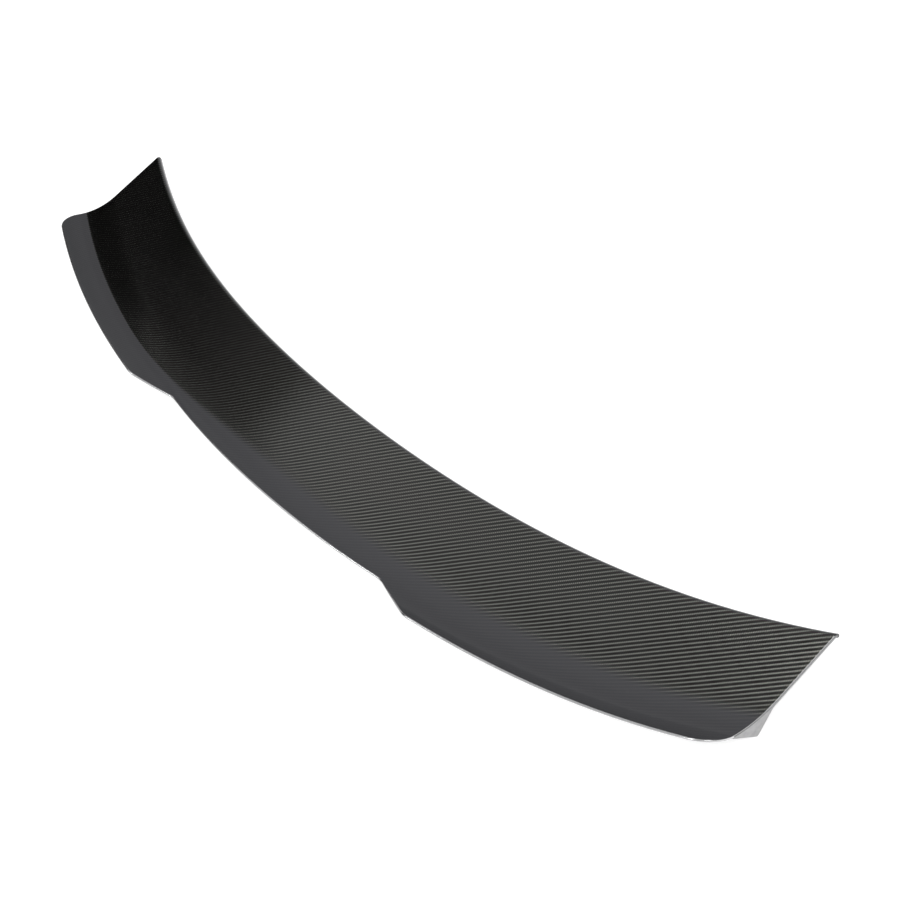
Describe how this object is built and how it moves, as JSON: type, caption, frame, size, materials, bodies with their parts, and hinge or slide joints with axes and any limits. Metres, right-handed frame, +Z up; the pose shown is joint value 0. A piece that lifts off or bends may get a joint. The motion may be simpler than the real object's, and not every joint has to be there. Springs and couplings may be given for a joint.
{
  "type": "rear spoiler",
  "caption": "Low boot-lid spoiler: a swept one-piece shell with a flat deck over the lid and a rear edge that kicks up, stepped in towards the middle.",
  "frame": {"origin": "centre of the bounding box in plan, on the plane that the foot stands on", "axes": "+X across the car from tip to tip, +Y towards the front of the car, +Z up"},
  "size_m": [1.28, 0.2802, 0.0633],
  "materials": {
    "carbon_shell": "deep gloss clear coat over black twill-woven cloth; bare pale grey laminate on the end walls and the inside"
  },
  "bodies": {
    "root": {"spoiler": "carbon_shell"}
  },
  "joints": []
}
